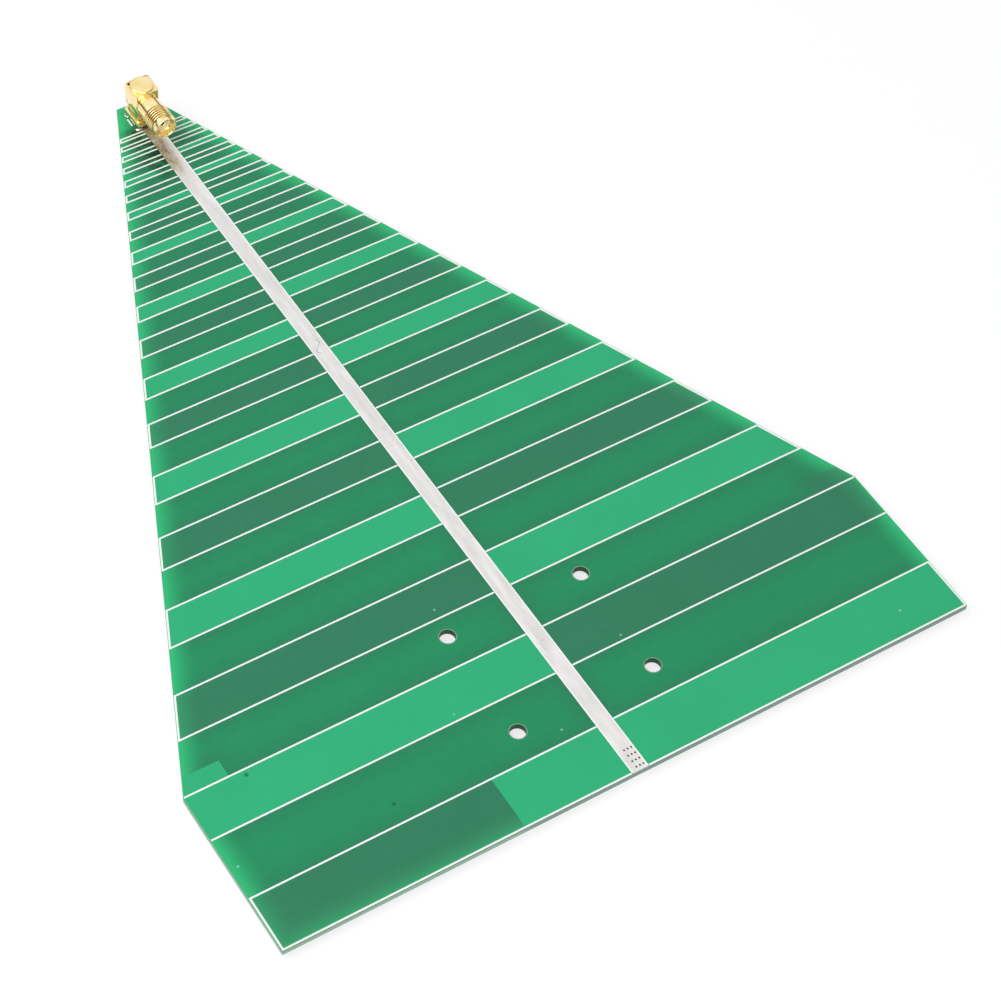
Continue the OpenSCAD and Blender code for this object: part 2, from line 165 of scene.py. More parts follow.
def etched_copper():
    """Etched copper foil, dull and pinkish where a cut edge shows it."""
    material, tree, place = new_finish("etched_copper_foil")
    cloud = add(tree, NOISE, {"Vector": place, "Scale": 0.8})
    tone = add(tree, MIX, {0: cloud, 6: linear("#b8694a"), 7: linear("#d08a64")},
               out=2, data_type="RGBA")
    surface = add(tree, SURFACE, {"Base Color": tone, "Metallic": 1.0, "Roughness": 0.4})
    add(tree, OUTPUT, {"Surface": surface})
    return material


def flux_film(tree, place, spread_mm, blot_mm):
    """Where burnt flux lies: on the front, left of the line's middle, from the jack's
    foot to spread_mm past the lip, in blots of about blot_mm."""
    spot = add(tree, SPLIT, [place], out=None)
    blots = add(tree, NOISE, {
        "Vector": place, "Scale": 1 / blot_mm, "Detail": 4.0, "Roughness": 0.6})
    film = add(tree, RANGE, [blots, 0.33, 0.54])
    # along each axis, from where to where in millimetres the film sets in or fades out
    for axis, low, high, start, stop in (
            ("Y", LIP - spread_mm, LIP - spread_mm * 0.4, 0.0, 1.0),
            ("Y", LIP + 9.0, LIP + 11.0, 1.0, 0.0),
            ("X", -LINE_HALF - 8.0, -LINE_HALF - 2.0, 0.0, 1.0),
            ("X", -0.2, 1.2, 1.0, 0.0),
            ("Z", BOTTOM, TOP, 0.0, 1.0)):
        edge = add(tree, RANGE, [spot[axis], low, high, start, stop])
        film = add(tree, MATH, [film, edge], operation="MULTIPLY")
    return film


def solder_mask():
    """Glossy green liquid mask, baked on: bright and warm where copper lies right
    under it, dulled by painted shade where copper behind the laminate shuts out the
    light through the glass and near every copper edge, and deep green over bare
    glass, which lets light in at the board's edges."""
    material, tree, place = new_finish("green_solder_mask")
    spot = add(tree, SPLIT, [place], out=None)
    under, behind, edge_gap, copper_gap = (
        add(tree, "ShaderNodeAttribute", out="Fac", attribute_name=name)
        for name in ("copper_under", "behind_mm", "edge_gap_mm", "copper_gap_mm"))
    # the painted shade of a foil behind the laminate has soft edges, because the glass scatters
    # light
    scatter = 0.9
    behind = add(tree, RANGE, [behind, -scatter, scatter], interpolation_type="SMOOTHSTEP")
    # light let in at the sawn edge fades within a few millimetres, sooner over a foil
    glow_full, glow_gone = 0.5, 5.6
    glow = add(tree, RANGE, [edge_gap, glow_full, glow_gone, 1.0, 0.0])
    glow = add(tree, MATH, [glow, 1.8], operation="POWER")
    over_foil = add(tree, MATH, [glow, 0.6], operation="MULTIPLY")
    cloud = add(tree, NOISE, {"Vector": place, "Scale": 0.07})
    fine = add(tree, NOISE, {"Vector": place, "Scale": 0.9, "Detail": 3.0, "Roughness": 0.6})
    film = flux_film(tree, place, 11.0, 3.0)
    # dirt near the jack: dark grains, about one to every millimetre and a half
    grains = add(tree, "ShaderNodeTexVoronoi", {
        "Vector": add(tree, MAPPING, {"Vector": place, "Scale": (1.0, 1.0, 0.0)}), "Scale": 0.7},
        out="Distance")
    dirt = add(tree, RANGE, [grains, 0.10, 0.20, 0.5, 0.0])
    dirt = add(tree, MATH, [dirt, add(tree, RANGE, [spot["Y"], LIP, LIP + 5.0])],
               operation="MULTIPLY")
    # two craters where a grain of dust sat under the mask, and six pale specks on it
    dots = []
    for x, y, radius in (
            (-69.4, -71.0, 0.35), (-47.3, -91.7, 0.3), (-81.2, -88.8, 0.15), (69.7, -103.6, 0.15),
            (-15.4, -54.8, 0.12), (15.0, -79.6, 0.12), (-8.6, -93.4, 0.12), (-25.6, -79.3, 0.08)):
        away = add(tree, VECTOR, [place, (x, y, FRONT_HIGH.z / MM)], out="Value",
                   operation="DISTANCE")
        dots.append(add(tree, RANGE, [away, radius, radius + 0.25, 0.65, 0.0]))
    craters = add(tree, MATH, dots[:2], operation="MAXIMUM")
    specks = dots[2]
    for dot in dots[3:]:
        specks = add(tree, MATH, [specks, dot], operation="MAXIMUM")
    # tin has crept over the thin rib of mask between the line's end and the board's
    aside = add(tree, MATH, [spot["X"]], operation="ABSOLUTE")
    crept = add(tree, MATH, [
        add(tree, RANGE, [spot["Y"], WIDE_END + 0.35, WIDE_END + 0.4, 1.0, 0.0]),
        add(tree, RANGE, [aside, LINE_HALF - 0.15, LINE_HALF - 0.05, 1.0, 0.0])],
        operation="MULTIPLY")
    # over bare glass: painted shade near the copper's edges, which keep light out of the glass, and
    # the painted glow of light let in at the sawn edge
    bare = linear("#198f5c")
    for factor, colour in (
            (add(tree, RANGE, [copper_gap, 0.0, 4.5, 0.8, 0.0]), "#237f59"),
            (glow, "#2fbe7a")):
        bare = add(tree, MIX, {0: factor, 6: bare, 7: linear(colour)}, out=2, data_type="RGBA")
    # over a foil behind the laminate: painted shade, lifted by the painted glow near the sawn edge
    foil = add(tree, MIX, {0: over_foil, 6: linear("#2b7e5b"), 7: linear("#36ab70")},
               out=2, data_type="RGBA")
    tone = add(tree, MIX, {0: behind, 6: bare, 7: foil}, out=2, data_type="RGBA")
    for factor, colour in (
            (under, "#2cb47b"),
            (add(tree, RANGE, [cloud, 0.35, 0.7, 0.0, 0.06]), "#0c5c37"),
            (add(tree, RANGE, [fine, 0.35, 0.65, 0.0, 0.02]), "#7fd8a8"),
            (add(tree, MATH, [film, 0.86], operation="MULTIPLY"), "#06230f"),
            (dirt, "#1d4a30"), (craters, "#114a2e"), (specks, "#9adbb8"), (crept, "#dcdad8")):
        tone = add(tree, MIX, {0: factor, 6: tone, 7: linear(colour)}, out=2, data_type="RGBA")
    rough = add(tree, MATH, [film, 0.2, add(tree, RANGE, [fine, 0.3, 0.7, 0.28, 0.33])],
                operation="MULTIPLY_ADD")
    # orange peel of the dried mask, about a millimetre wide and microns deep
    peel = add(tree, MATH, [craters, -3.0, fine], operation="MULTIPLY_ADD")
    surface = add(tree, SURFACE, {
        "Base Color": tone, "Roughness": rough, "IOR": 1.5, "Specular IOR Level": 0.25,
        "Normal": add(tree, BUMP, {"Height": peel, "Distance": 0.002 * MM})})
    add(tree, OUTPUT, {"Surface": surface})
    return material


def levelled_tin():
    """Tin levelled with hot air: bright, soft and almost white, thicker at the line's
    rims with a painted highlight along them, with fine scratches, and brown flux left
    in front of the jack."""
    material, tree, place = new_finish("hot_levelled_tin")
    spot = add(tree, SPLIT, [place], out=None)
    waves = add(tree, NOISE, {"Scale": 1.0, "Detail": 3.0, "Vector": add(
        tree, MAPPING, {"Vector": place, "Scale": (0.7, 0.12, 0.5)})})
    cloud = add(tree, NOISE, {"Vector": place, "Scale": 0.9, "Detail": 4.0, "Roughness": 0.6})
    film = flux_film(tree, place, 10.0, 2.2)
    haze = flux_film(tree, place, 26.0, 4.0)
    # a painted highlight on the rims: the outer third of a millimetre on either side
    aside = add(tree, MATH, [spot["X"]], operation="ABSOLUTE")
    rim = add(tree, RANGE, [aside, LINE_HALF - 0.32, LINE_HALF - 0.18, 0.0, 0.85])
    # long scratches a tenth of a millimetre wide, in patches some 5 mm wide
    lines = add(tree, NOISE, {"Scale": 1.0, "Detail": 2.0, "Roughness": 0.4, "Vector": add(
        tree, MAPPING, {"Vector": place, "Scale": (1.1, 0.08, 0.5), "Location": (7, 2, 0)})})
    off = add(tree, MATH, [lines, 0.5], operation="SUBTRACT")
    off = add(tree, MATH, [off], operation="ABSOLUTE")
    patches = add(tree, NOISE, {"Scale": 1.0, "Detail": 1.0, "Vector": add(
        tree, MAPPING, {"Vector": place, "Scale": (0.2, 0.05, 0.2), "Location": (1, 9, 0)})})
    scratch = add(tree, MATH, [
        add(tree, RANGE, [off, 0.0, 0.010, 1.0, 0.0]),
        add(tree, RANGE, [patches, 0.52, 0.60])], operation="MULTIPLY")
    # one scratch on the front is bent like an S, 4 mm long and a quarter wide
    mark_y, mark_half, mark_swing, mark_bend = 20.6, 2.0, 0.9, 1.3
    run = add(tree, MATH, [spot["Y"], mark_y], operation="SUBTRACT")
    bend = add(tree, MATH, [run, mark_bend], operation="MULTIPLY")
    bend = add(tree, MATH, [bend], operation="SINE")
    bend = add(tree, MATH, [bend, mark_swing], operation="MULTIPLY")
    off = add(tree, MATH, [spot["X"], bend], operation="SUBTRACT")
    off = add(tree, MATH, [off], operation="ABSOLUTE")
    run = add(tree, MATH, [run], operation="ABSOLUTE")
    mark = add(tree, RANGE, [off, 0.05, 0.16, 1.0, 0.0])
    for limit in (
            add(tree, RANGE, [run, mark_half, mark_half + 0.4, 1.0, 0.0]),
            add(tree, RANGE, [spot["Z"], BOTTOM, TOP])):
        mark = add(tree, MATH, [mark, limit], operation="MULTIPLY")
    tone = linear("#dcdad8")
    for factor, colour in (
            (add(tree, RANGE, [waves, 0.3, 0.7]), "#eae8e8"),
            # painted highlight along the rims
            (rim, "#ffffff"),
            (add(tree, MATH, [haze, 0.25], operation="MULTIPLY"), "#c9c0b4"),
            (add(tree, MATH, [film, 0.9], operation="MULTIPLY"), "#b9a889"),
            (add(tree, MATH, [film, add(tree, RANGE, [cloud, 0.5, 0.66, 0.0, 0.75])],
                 operation="MULTIPLY"), "#7d6f4e"),
            (add(tree, MATH, [scratch, 0.45], operation="MULTIPLY"), "#8b8885"),
            (add(tree, MATH, [mark, 0.5], operation="MULTIPLY"), "#6f6b66")):
        tone = add(tree, MIX, {0: factor, 6: tone, 7: linear(colour)}, out=2, data_type="RGBA")
    rough = add(tree, MATH, [film, 0.15, add(tree, RANGE, [waves, 0.3, 0.7, 0.34, 0.46])],
                operation="MULTIPLY_ADD")
    dents = add(tree, MATH, [scratch, -0.5, waves], operation="MULTIPLY_ADD")
    surface = add(tree, SURFACE, {
        "Base Color": tone, "Metallic": 1.0, "Roughness": rough,
        "Normal": add(tree, BUMP, {"Height": dents, "Distance": 0.02 * MM})})
    add(tree, OUTPUT, {"Surface": surface})
    return material


def legend_ink():
    """White epoxy ink, screen-printed: matt and near pure white, a little greener
    where it is thin, and yellowed by flux beside the jack."""
    material, tree, place = new_finish("white_legend_ink")
    thin = add(tree, NOISE, {"Vector": place, "Scale": 1.6, "Detail": 3.0, "Roughness": 0.6})
    film = flux_film(tree, place, 11.0, 3.0)
    tone = linear("#ffffff")
    for factor, colour in (
            (add(tree, RANGE, [thin, 0.45, 0.8, 0.0, 0.4]), "#e4f5ec"),
            (add(tree, MATH, [film, 0.4], operation="MULTIPLY"), "#e9f0c8")):
        tone = add(tree, MIX, {0: factor, 6: tone, 7: linear(colour)}, out=2, data_type="RGBA")
    surface = add(tree, SURFACE, {"Base Color": tone, "Roughness": 0.5, "Normal": add(
        tree, BUMP, {"Height": thin, "Distance": 0.005 * MM})})
    add(tree, OUTPUT, {"Surface": surface})
    return material


def hole_plating():
    """Tinned copper in the drilled holes: dull grey with a trace of copper."""
    material, tree, place = new_finish("tinned_hole_plating")
    cloud = add(tree, NOISE, {"Vector": place, "Scale": 1.5})
    tone = add(tree, MIX, {0: cloud, 6: linear("#9a8f84"), 7: linear("#c9c4bb")},
               out=2, data_type="RGBA")
    surface = add(tree, SURFACE, {"Base Color": tone, "Metallic": 1.0, "Roughness": 0.45})
    add(tree, OUTPUT, {"Surface": surface})
    return material


def gold_plating(name, pale, deep, rough):
    """Thin gold over nickel on machined brass: bright pale yellow, a slightly deeper
    tone in clouds, fine tool marks, and painted shade in the thread's roots and in
    the punch mark, darkest on the left, where the roots mirror dark surroundings."""
    material, tree, place = new_finish(name)
    cloud = add(tree, NOISE, {"Vector": place, "Scale": 0.35, "Detail": 3.0})
    marks = add(tree, NOISE, {"Vector": place, "Scale": 5.0, "Detail": 3.0, "Roughness": 0.6})
    # painted shade from the root attribute: the hollows of the thread and the punch mark darkened
    root_shade = add(tree, "ShaderNodeAttribute", out="Fac", attribute_name="root")
    # the painted shade is strong on the left, where the roots mirror dark surroundings, and weak on
    # the right
    side = add(tree, SPLIT, [place], out=None)["X"]
    middle = JACK_X / MM
    side = add(tree, RANGE, [side, middle - 1.2, middle + 0.8, 0.95, 0.4])
    root_shade = add(tree, MATH, [root_shade, side], operation="MULTIPLY")
    tone = linear(pale)
    for factor, colour in (
            (add(tree, RANGE, [cloud, 0.35, 0.65]), deep),
            (add(tree, RANGE, [root_shade, 0.2, 0.95, 0.0, 0.95]), "#4a3107")):
        tone = add(tree, MIX, {0: factor, 6: tone, 7: linear(colour)}, out=2, data_type="RGBA")
    worn = add(tree, RANGE, [marks, 0.3, 0.7, rough - 0.04, rough + 0.05])
    surface = add(tree, SURFACE, {
        "Base Color": tone, "Metallic": 1.0,
        "Roughness": add(tree, MATH, [root_shade, 0.3, worn], operation="MULTIPLY_ADD"),
        "Normal": add(tree, BUMP, {"Height": marks, "Distance": 0.004 * MM})})
    add(tree, OUTPUT, {"Surface": surface})
    return material


def turned_ptfe():
    """Turned PTFE: waxy white, soft and slightly see-through, with a warm cast painted in for the
    light the gold mouth throws on it.
    """
    material, tree, place = new_finish("turned_ptfe")
    rings = add(tree, NOISE, {"Vector": place, "Scale": 2.0})
    # painted reflection: the warm cast stands in for light thrown back by the gold walls of the
    # mouth
    tone = add(tree, MIX, {0: rings, 6: linear("#ffe8cb"), 7: linear("#fff2de")},
               out=2, data_type="RGBA")
    surface = add(tree, SURFACE, {
        "Base Color": tone, "Roughness": 0.42, "IOR": 1.38, "Subsurface Weight": 0.25,
        "Subsurface Scale": 0.5 * MM})
    add(tree, OUTPUT, {"Surface": surface})
    return material


def tin_solder():
    """Tin solder: bright and faintly pink where it wetted the pad, with dark burnt
    flux in spots."""
    material, tree, place = new_finish("tin_solder")
    cloud = add(tree, NOISE, {"Vector": place, "Scale": 1.3, "Detail": 4.0, "Roughness": 0.6})
    tone = add(tree, MIX, {0: add(tree, RANGE, [cloud, 0.5, 0.6]), 6: linear("#eadfdc"),
                           7: linear("#3c2a1d")}, out=2, data_type="RGBA")
    surface = add(tree, SURFACE, {
        "Base Color": tone, "Metallic": 1.0,
        "Roughness": add(tree, RANGE, [cloud, 0.3, 0.7, 0.22, 0.5]),
        "Normal": add(tree, BUMP, {"Height": cloud, "Distance": 0.03 * MM})})
    add(tree, OUTPUT, {"Surface": surface})
    return material


FINISHES = {
    "glass_epoxy": glass_epoxy(),
    "copper": etched_copper(),
    "solder_mask": solder_mask(),
    "tin": levelled_tin(),
    "legend_ink": legend_ink(),
    "plating": hole_plating(),
    "gold_plated_brass": gold_plating("gold_plated_brass", "#feebb0", "#f7dc9c", 0.13),
    "gold_plated_contact": gold_plating("gold_plated_contact", "#fbe09c", "#ecc77c", 0.22),
    "ptfe": turned_ptfe(),
    "solder": tin_solder(),
}
for part in frame["record"]["subparts"]:
    mesh = NODES[part["node"]].data
    mesh.materials.clear()
    mesh.materials.append(FINISHES[part["material_slot"]])


# --------------------------------------------------------------- making of meshes

def new_piece(name, mesh, slot, node):
    """A finished mesh as a piece of the antenna, in the place of a node's plain solids."""
    piece = bpy.data.objects.new(name, mesh)
    bpy.context.scene.collection.objects.link(piece)
    if not mesh.materials:
        mesh.materials.append(FINISHES[slot])
    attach(piece, "root")
    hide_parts(node)


def smooth_by_angle(mesh, degrees):
    """Smooth shading, with edges kept where the surface turns more than the angle."""
    shape = bmesh.new()
    shape.from_mesh(mesh)
    for face in shape.faces:
        face.smooth = True
    limit = math.radians(degrees)
    for edge in shape.edges:
        edge.smooth = len(edge.link_faces) == 2 and edge.calc_face_angle(0) < limit
    shape.to_mesh(mesh)
    shape.free()


def turned(name, profile, place, steps=96):
    """A closed solid of revolution: profile is a closed loop of (radius, height) in
    millimetres round the local Z axis, and place carries it into the frame."""
    shape = bmesh.new()
    angles = [2 * math.pi * i / steps for i in range(steps)]
    loops = []
    for radius, height in profile:
        if radius < 1e-6:
            loops.append([shape.verts.new((0, 0, height * MM))] * steps)
        else:
            loops.append([shape.verts.new((
                radius * MM * math.cos(a), radius * MM * math.sin(a), height * MM))
                for a in angles])
    for one, other in zip(loops, loops[1:] + loops[:1]):
        for i in range(steps):
            j = (i + 1) % steps
            corners = []
            for v in (one[i], one[j], other[j], other[i]):
                if v not in corners:
                    corners.append(v)
            if len(corners) > 2:
                shape.faces.new(corners)
    bmesh.ops.recalc_face_normals(shape, faces=shape.faces)
    mesh = bpy.data.meshes.new(name)
    shape.to_mesh(mesh)
    shape.free()
    mesh.transform(place)
    return mesh


def rounded(points, radius, steps=3):
    """A closed loop of points with each marked corner rounded: a point is (r, h) or
    (r, h, share), where share scales the rounding."""
    made = []
    count = len(points)
    for i, point in enumerate(points):
        here = Vector(point[:2])
        size = radius * (point[2] if len(point) > 2 else 0)
        before = Vector(points[i - 1][:2]) - here
        after = Vector(points[(i + 1) % count][:2]) - here
        if size <= 0 or not before.length or not after.length:
            made.append(tuple(here))
            continue
        size = min(size, before.length * 0.45, after.length * 0.45)
        start, end = here + before.normalized() * size, here + after.normalized() * size
        for k in range(steps + 1):
            t = k / steps
            made.append(tuple(start * (1 - t) ** 2 + here * 2 * t * (1 - t) + end * t ** 2))
    return made


def baked(holder):
    """The plain mesh that an object's modifiers make; the modifiers are removed."""
    bpy.context.view_layer.update()
    graph = bpy.context.evaluated_depsgraph_get()
    mesh = bpy.data.meshes.new_from_object(holder.evaluated_get(graph), depsgraph=graph)
    bpy.data.objects.remove(holder)
    return mesh


def grow(name, tree, **sizes):
    """The mesh that a geometry tree makes from its named sizes."""
    holder = bpy.data.objects.new(name, bpy.data.meshes.new(name))
    bpy.context.scene.collection.objects.link(holder)
    modifier = holder.modifiers.new(name, "NODES")
    modifier.node_group = tree
    for item in tree.interface.items_tree:
        if item.item_type == "SOCKET" and item.in_out == "INPUT" and item.name in sizes:
            modifier[item.identifier] = sizes[item.name]
    return baked(holder)


def joined(name, meshes):
    """Several meshes as one."""
    shape = bmesh.new()
    for mesh in meshes:
        shape.from_mesh(mesh)
    mesh = bpy.data.meshes.new(name)
    shape.to_mesh(mesh)
    shape.free()
    return mesh


# ------------------------------------------------------------------ solder mask

def top_outline(node, z):
    """Edges round the flat face of a node at height z, as pairs of points in mm."""
    mesh = NODES[node].data
    points = np.array([v.co for v in mesh.vertices]) / MM
    open_edges = {}
    for face in mesh.polygons:
        corners = points[list(face.vertices)]
        if np.abs(corners[:, 2] - z / MM).max() > 0.002:
            continue
        keys = [tuple(np.round(c[:2], 4)) for c in corners]
        for a, b in zip(keys, keys[1:] + keys[:1]):
            if (b, a) in open_edges:
                open_edges.pop((b, a))
            elif a != b:
                open_edges[(a, b)] = True
    return list(open_edges)


def covers(node, spots):
    """Which spots of the plan, in mm, a node's solids cover."""
    mesh = NODES[node].data
    solid = BVHTree.FromPolygons(
        [v.co for v in mesh.vertices], [list(f.vertices) for f in mesh.polygons])
    down = Vector((0, 0, -1))
    return [solid.ray_cast(Vector((x * MM, y * MM, 1.0)), down)[0] is not None
            for x, y in spots]


def gaps(spots, edges):
    """Distance of each spot from the nearest edge, in mm."""
    a = np.array([e[0] for e in edges], float)
    run = np.array([e[1] for e in edges], float) - a
    size = (run ** 2).sum(1)
    found = []
    for part in np.array_split(np.asarray(spots, float), max(1, len(spots) // 500)):
        away = part[:, None] - a[None]
        t = np.clip((away * run).sum(2) / size, 0, 1)
        found.append(np.sqrt(((away - t[..., None] * run) ** 2).sum(2)).min(1))
    return np.concatenate(found)


SPREAD = 2.5  # spacing of the mask's inner points, mm
INSETS = (0.7, 1.6, 3.0, 5.0)  # their rows along the sawn rim
CLEAR = 0.35  # they keep this far from every edge


def mask_piece(name, node, under, behind, outer_z, inner_z, copper_z):
    """The mask of one side. Its plan is split along the edges of both coppers, so
    each face knows what lies under it; it is thinner over its own copper."""
    own = top_outline(under, copper_z)
    far = top_outline(behind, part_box(behind)[1].z)
    # the sawn outline only: the drilled holes' facets are all shorter than a millimetre
    rim = [e for e in top_outline("laminate", BOARD_HIGH.z) if math.dist(*e) > 1.0]
    edges = top_outline(node, outer_z) + own + far
    index, points, pairs = {}, [], []
    for edge in edges:
        ids = []
        for point in edge:
            ids.append(index.setdefault(point, len(index)))
            if len(index) > len(points):
                points.append(Vector(point))
        pairs.append(tuple(ids))
    # inner points, closer together along the board's rim, carry the distances
    spread = [(x, y) for x in np.arange(-82, 83, SPREAD) for y in np.arange(-108, 110, SPREAD)]
    for a, b in rim:
        a, b = np.array(a), np.array(b)
        run = b - a
        long = np.linalg.norm(run)
        side = np.array([-run[1], run[0]]) / long
        for inset in INSETS:
            for t in np.arange(2.0, long - 1.0, SPREAD):
                spread.append(tuple(a + run * t / long + side * inset))
                spread.append(tuple(a + run * t / long - side * inset))
    inside = covers(node, spread)
    clear = gaps(spread, edges) > CLEAR
    points += [Vector(s) for s, i, c in zip(spread, inside, clear) if i and c]
    plan, _, faces, _, _, _ = delaunay_2d_cdt(points, pairs, [], 0, 1e-5)
    plan = [tuple(p) for p in plan]
    middle = [tuple(np.mean([plan[i] for i in f], axis=0)) for f in faces]
    kept = covers(node, middle)
    on_own = covers(under, middle)
    edge_gap = gaps(plan, rim)
    copper_gap = gaps(plan, own + far)
    # how far inside the far foil's edge a point lies; outside it is less than nothing
    behind_gap = gaps(plan, far) * np.where(covers(behind, plan), 1.0, -1.0)
    verts, made, flags, slots = [], [], [], {}

    def vert(i, z):
        if (i, z) not in slots:
            slots[(i, z)] = len(verts)
            verts.append((plan[i][0] * MM, plan[i][1] * MM, z))
        return slots[(i, z)]

    def face(corners, mark):
        made.append(corners if outer_z > inner_z else corners[::-1])
        flags.append(mark)

    # each kept face with its mark and its underside, then the underside beyond each edge
    rows = [(f, float(o), copper_z if o else inner_z)
            for f, k, o in zip(faces, kept, on_own) if k]
    level = {(u, v): bottom for f, _, bottom in rows for u, v in zip(f, f[1:] + f[:1])}
    for f, on, bottom in rows:
        face([vert(i, outer_z) for i in f], on)
        face([vert(i, bottom) for i in f[::-1]], on)
    for f, on, bottom in rows:
        for u, v in zip(f, f[1:] + f[:1]):
            other = level.get((v, u))
            if other is None:
                # a wall takes in the corner where its neighbour's step ends on it
                ends = [[slots[(i, copper_z)]] if not on and (i, copper_z) in slots else []
                        for i in (u, v)]
                face([vert(u, bottom), vert(v, bottom), *ends[1],
                      vert(v, outer_z), vert(u, outer_z), *ends[0]], on)
            elif other != bottom and not on:
                face([vert(u, bottom), vert(v, bottom), vert(v, other), vert(u, other)], on)
    mesh = bpy.data.meshes.new(name)
    mesh.from_pydata(verts, [], made)
    mesh.update()
    mesh.attributes.new("copper_under", "FLOAT", "FACE").data.foreach_set("value", flags)
    order = [i for i, z in slots]
    for label, found in (
            ("edge_gap_mm", edge_gap), ("copper_gap_mm", copper_gap), ("behind_mm", behind_gap)):
        stored = mesh.attributes.new(label, "FLOAT", "POINT")
        stored.data.foreach_set("value", found[order].astype(float))
    new_piece(name, mesh, "solder_mask", node)


mask_piece("mask_of_front", "front_solder_mask", "front_copper", "back_copper",
           FRONT_HIGH.z, FRONT_LOW.z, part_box("front_copper")[1].z)
mask_piece("mask_of_back", "back_solder_mask", "back_copper", "front_copper",
           BACK_LOW.z, BACK_HIGH.z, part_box("back_copper")[0].z)


# ---------------------------------------------------------------- coupling thread

ROWS = 16.0  # rows of faces to one pitch
COLUMNS = 96  # and to one turn
CREST_STOP, ROOT_START = 0.36, 0.78  # shares of half a pitch, from the crest's middle
RUN_OUT = 1.4  # slope of the ridge's ends


def thread_tree():
    """A sleeve with a helical ridge: a sheet of rows and columns is rolled up round
    its axis, its rows are slanted by one pitch a turn, and the ridge's height comes
    from the row alone."""
    tree = bpy.data.node_groups.new("coupling_thread", "GeometryNodeTree")
    for name, start in (
            ("Pitch", 0.0007), ("Crest", 0.0032), ("Root", 0.0027), ("Length", 0.005)):
        socket = tree.interface.new_socket(name, in_out="INPUT", socket_type="NodeSocketFloat")
        socket.default_value = start
    tree.interface.new_socket("Finish", in_out="INPUT", socket_type="NodeSocketMaterial")
    tree.interface.new_socket("Geometry", in_out="OUTPUT", socket_type="NodeSocketGeometry")
    given = add(tree, "NodeGroupInput", out=None)
    length, crest, root = given["Length"], given["Crest"], given["Root"]
    turns = add(tree, MATH, [length, given["Pitch"]], operation="DIVIDE")
    rows = add(tree, MATH, [add(tree, MATH, [turns, 1.0], operation="ADD")], operation="CEIL")
    rows = add(tree, MATH, [rows, ROWS], operation="MULTIPLY")
    sheet = add(tree, "GeometryNodeMeshGrid", {
        "Size X": 1.0, "Size Y": 1.0, "Vertices X": COLUMNS + 1,
        "Vertices Y": add(tree, MATH, [rows, 1.0], operation="ADD")})
    place = add(tree, SPLIT, [add(tree, "GeometryNodeInputPosition")], out=None)
    turn = add(tree, MATH, [place["X"], 0.5], operation="ADD")
    row = add(tree, MATH, [place["Y"], 0.5], operation="ADD")
    row = add(tree, MATH, [add(tree, MATH, [row, rows], operation="MULTIPLY")], operation="ROUND")
    pitches = add(tree, MATH, [row, ROWS], operation="DIVIDE")
    height = add(tree, MATH, [add(tree, MATH, [pitches, turn], operation="ADD"), 1.0],
                 operation="SUBTRACT")
    height = add(tree, MATH, [height, given["Pitch"]], operation="MULTIPLY")
    height = add(tree, MATH, [height, 0.0], operation="MAXIMUM")
    height = add(tree, MATH, [height, length], operation="MINIMUM")
    # across one pitch the wave runs from 1 in the root to 0 on the crest and back
    wave = add(tree, MATH, [add(tree, MATH, [pitches], operation="FRACT"), 2.0, -1.0],
               operation="MULTIPLY_ADD")
    wave = add(tree, MATH, [wave], operation="ABSOLUTE")
    ridge = add(tree, RANGE, [wave, CREST_STOP, ROOT_START, 1.0, 0.0])
    deep = add(tree, MATH, [crest, root], operation="SUBTRACT")
    radius = add(tree, MATH, [ridge, deep, root], operation="MULTIPLY_ADD")
    # both ends run out at a slant
    to_end = add(tree, MATH, [height, add(tree, MATH, [length, height], operation="SUBTRACT")],
                 operation="MINIMUM")
    slant = add(tree, MATH, [to_end, RUN_OUT, root], operation="MULTIPLY_ADD")
    radius = add(tree, MATH, [radius, slant], operation="MINIMUM")
    angle = add(tree, MATH, [turn, 2 * math.pi], operation="MULTIPLY")
    # how deep in the root a point lies, for the finish's painted shade; stored before the sheet is
    # rolled
    marked = add(tree, "GeometryNodeStoreNamedAttribute", {
        "Geometry": sheet, "Name": "root", "Value": add(
            tree, MATH, [1.0, ridge], operation="SUBTRACT")}, data_type="FLOAT", domain="POINT")
    around = [add(tree, MATH, [radius, add(tree, MATH, [angle], operation=way)],
                  operation="MULTIPLY") for way in ("COSINE", "SINE")]
    rolled = add(tree, "GeometryNodeSetPosition", {
        "Geometry": marked, "Position": add(tree, "ShaderNodeCombineXYZ", [*around, height])})
    closed = add(tree, "GeometryNodeMergeByDistance", {"Geometry": rolled, "Distance": 1e-6})
    whole = add(tree, "GeometryNodeRealizeInstances", {"Geometry": closed})
    painted = add(tree, "GeometryNodeSetMaterial", {"Geometry": whole, "Material": given["Finish"]})
    add(tree, "NodeGroupOutput", [painted])
    return tree


# Lengths of the barrel in millimetres, counted back from the front of its lip: a
# 1/4-36 thread between a plain lip and a plain neck
LIP_LEN = 1.05
THREAD_LEN = 4.5
NECK_LEN = 3.6
MOUTH_DEPTH = 1.9
THREAD_PITCH = 25.4 / 36
CREST_R = 3.175
ROOT_R = 2.76
NECK_R = 2.75
LIP_R = 2.8
BORE_R = 2.05
SPIGOT_R = 2.5
MOUTH_R = 2.3
LIP_BREAK = 0.15
ROUNDING = 0.14  # of the barrel's corners
CORE_R = ROOT_R - 0.1  # the core under the thread's sleeve
SLEEVE_R = ROOT_R - 0.2  # inside of the sleeve, within the core
BARREL_LEN = (BARREL_HIGH.y - BARREL_LOW.y) / MM

# the barrel's local Z runs back from the lip's front, along +Y
to_barrel = Matrix.Translation((JACK_X, LIP_Y, AXIS_Z)) @ Matrix.Rotation(
    math.radians(-90), 4, "X")
thread = grow("coupling_thread", thread_tree(), Pitch=THREAD_PITCH * MM, Crest=CREST_R * MM,
              Root=ROOT_R * MM, Length=THREAD_LEN * MM, Finish=FINISHES["gold_plated_brass"])
shape = bmesh.new()
shape.from_mesh(thread)
